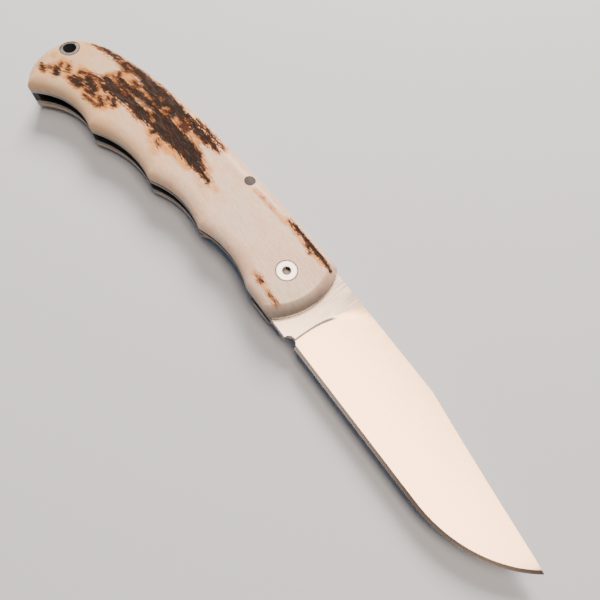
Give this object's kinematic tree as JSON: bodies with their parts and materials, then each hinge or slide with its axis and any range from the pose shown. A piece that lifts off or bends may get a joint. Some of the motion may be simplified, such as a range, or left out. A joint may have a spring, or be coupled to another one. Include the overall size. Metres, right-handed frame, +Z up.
{
  "type": "folding pocket knife",
  "caption": "Folding knife shown open: clip-point blade, rounded stag scales with finger grooves over steel liners, liner lock, flush pivot screw, spacer pin and lanyard tube.",
  "frame": {"origin": "on the pivot axis, in the plane the knife lies on: the outer face of the left scale and of the pivot barrel's head", "axes": "+X along the open blade to its tip, +Y towards the back of the handle and the blade's spine, +Z up through the thickness, out of the right scale"},
  "size_m": [0.2078, 0.0411, 0.0127],
  "materials": {
    "stag": "polished",
    "liner_steel": "satin",
    "spacer_steel": "satin",
    "blade_steel": "satin",
    "polished_steel": "polished",
    "bronze": "satin"
  },
  "bodies": {
    "handle": {"right_scale": "stag", "left_scale": "stag", "right_liner": "liner_steel", "left_liner": "liner_steel", "backspacer": "spacer_steel", "pivot_barrel": "polished_steel", "pivot_screw": "polished_steel", "right_washer": "bronze", "left_washer": "bronze", "stop_pin": "polished_steel", "spacer_pin": "polished_steel", "lanyard_tube": "polished_steel"},
    "blade": {"blade": "blade_steel"},
    "lock": {"lock_bar": "liner_steel", "detent_ball": "polished_steel"}
  },
  "joints": [
    {"name": "blade_pivot", "type": "hinge", "parent": "handle", "child": "blade", "pos_m": [0, 0, 0.00635], "axis": [0, 0, -1], "range_deg": [0, 171]},
    {"name": "lock_bar_flex", "type": "hinge", "parent": "handle", "child": "lock", "pos_m": [-0.06, 0, 0.008], "axis": [0, -1, 0], "range_deg": [0, 1.65], "deforming": ["lock_bar", "detent_ball"]}
  ],
  "couplings": [
    {"joint": "lock_bar_flex", "follows": "blade_pivot", "ratio": 0.009357}
  ]
}
